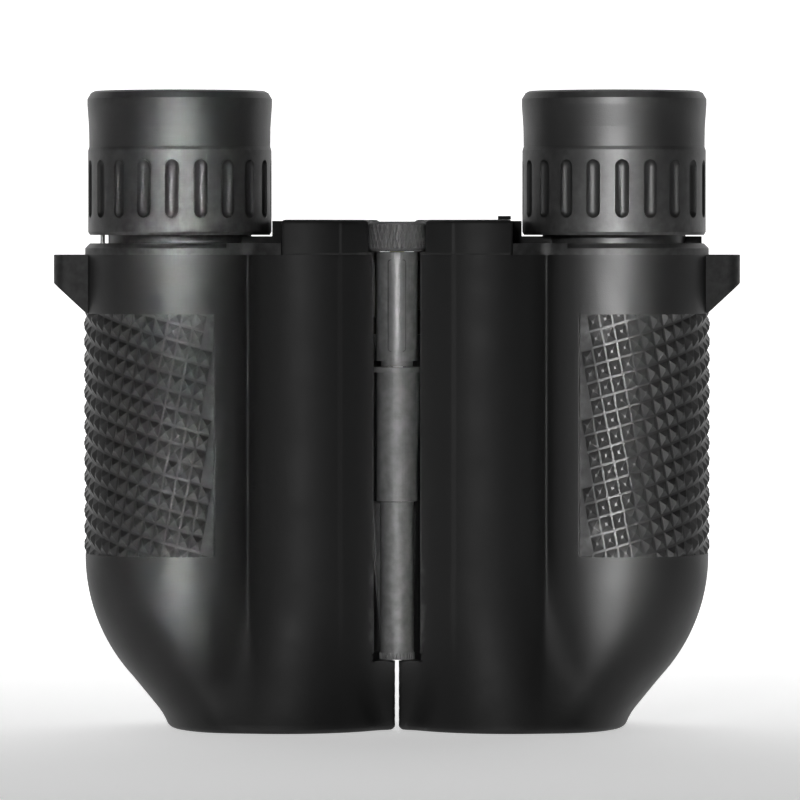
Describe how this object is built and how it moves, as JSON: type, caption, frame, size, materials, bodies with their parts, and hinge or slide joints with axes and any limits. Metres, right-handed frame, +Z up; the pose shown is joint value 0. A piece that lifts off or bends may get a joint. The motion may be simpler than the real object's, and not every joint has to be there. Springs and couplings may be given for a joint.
{
  "type": "compact binoculars",
  "caption": "Black compact reverse-Porro binoculars with ribbed rubber eyecups, pyramid grip panels, front hinge with knurled focus wheel, standing upright.",
  "frame": {"origin": "middle of the resting plane under the two objective rims", "axes": "+Z up along the optical axes towards the eyepieces, X across the two barrels, hinge and focus wheel side towards -Y"},
  "size_m": [0.112, 0.0362, 0.1039],
  "materials": {
    "soft_touch_black": "satin soft-touch moulding",
    "grip_rubber": "moulded pyramids",
    "eyecup_rubber": "fine matt rubber",
    "black_plastic": "plain moulding",
    "black_anodised": "black anodised, turned",
    "hinge_black": "satin black paint",
    "label_film": "satin film, blank",
    "optical_glass": "polished and coated",
    "prism_glass": "polished, ground edges",
    "spring_steel": "cold rolled",
    "steel_pin": "ground",
    "brass": "turned"
  },
  "bodies": {
    "left_half": {"left_housing": "soft_touch_black", "left_end_collar": "soft_touch_black", "left_grip_panel": "grip_rubber", "left_strap_lug": "soft_touch_black", "left_prism_plate": "black_anodised", "left_plate_screws": "steel_pin", "left_upper_prism": "prism_glass", "left_lower_prism": "prism_glass", "left_prism_clips": "spring_steel", "left_objective_cell": "black_anodised", "left_objective_ring": "black_anodised", "left_crown_lens": "optical_glass", "left_flint_lens": "optical_glass", "hinge_pin": "steel_pin", "hinge_end_nut": "hinge_black", "hinge_spacer": "hinge_black", "label_plate": "label_film"},
    "right_half": {"right_housing": "soft_touch_black", "right_end_collar": "soft_touch_black", "right_grip_panel": "grip_rubber", "right_strap_lug": "soft_touch_black", "right_prism_plate": "black_anodised", "right_plate_screws": "steel_pin", "right_upper_prism": "prism_glass", "right_lower_prism": "prism_glass", "right_prism_clips": "spring_steel", "right_objective_cell": "black_anodised", "right_objective_ring": "black_anodised", "right_crown_lens": "optical_glass", "right_flint_lens": "optical_glass", "hinge_washer": "hinge_black", "dioptre_index": "black_plastic"},
    "focus_knob": {"focus_wheel": "hinge_black", "focus_screw": "brass"},
    "carriage": {"focus_carriage": "brass"},
    "left_eyepiece": {"left_focus_arm": "black_plastic", "left_eyepiece_tube": "black_anodised", "left_eyecup": "eyecup_rubber", "left_guide_pin": "steel_pin", "left_eye_lens": "optical_glass", "left_field_lens": "optical_glass", "left_field_stop": "black_anodised", "left_lens_spacer": "black_anodised", "left_eye_lens_ring": "black_anodised"},
    "right_eyepiece": {"right_focus_arm": "black_plastic", "right_eyepiece_tube": "black_anodised", "right_guide_key": "black_plastic"},
    "right_dioptre": {"right_eyecup": "eyecup_rubber", "right_dioptre_ring": "black_plastic"},
    "right_ocular": {"right_lens_cell": "black_anodised", "right_eye_lens": "optical_glass", "right_field_lens": "optical_glass", "right_field_stop": "black_anodised", "right_lens_spacer": "black_anodised", "right_eye_lens_ring": "black_anodised"}
  },
  "joints": [
    {"name": "hinge_fold", "type": "hinge", "parent": "left_half", "child": "right_half", "pos_m": [0, -0.009, 0.05], "axis": [0, 0, 1], "range_deg": [0, 40]},
    {"name": "focus_wheel_turn", "type": "hinge", "parent": "left_half", "child": "focus_knob", "pos_m": [0, -0.009, 0.08], "axis": [0, 0, 1], "range_deg": [-33, 217]},
    {"name": "carriage_slide", "type": "slide", "parent": "left_half", "child": "carriage", "axis": [0, 0, 1], "range_m": [-0.0009, 0.006]},
    {"name": "left_eyepiece_slide", "type": "slide", "parent": "left_half", "child": "left_eyepiece", "axis": [0, 0, 1], "range_m": [-0.0009, 0.006]},
    {"name": "right_eyepiece_slide", "type": "slide", "parent": "right_half", "child": "right_eyepiece", "axis": [0, 0, 1], "range_m": [-0.0009, 0.006]},
    {"name": "dioptre_turn", "type": "hinge", "parent": "right_eyepiece", "child": "right_dioptre", "pos_m": [0.0355, 0, 0.09], "axis": [0, 0, 1], "range_deg": [-45.2, 45.2]},
    {"name": "right_ocular_slide", "type": "slide", "parent": "right_eyepiece", "child": "right_ocular", "axis": [0, 0, 1], "range_m": [-0.001, 0.001]}
  ],
  "couplings": [
    {"joint": "left_eyepiece_slide", "follows": "carriage_slide", "ratio": 1},
    {"joint": "right_eyepiece_slide", "follows": "carriage_slide", "ratio": 1},
    {"joint": "focus_wheel_turn", "follows": "carriage_slide", "rad_per_m": 628.32},
    {"joint": "dioptre_turn", "follows": "right_ocular_slide", "rad_per_m": 785.4}
  ]
}
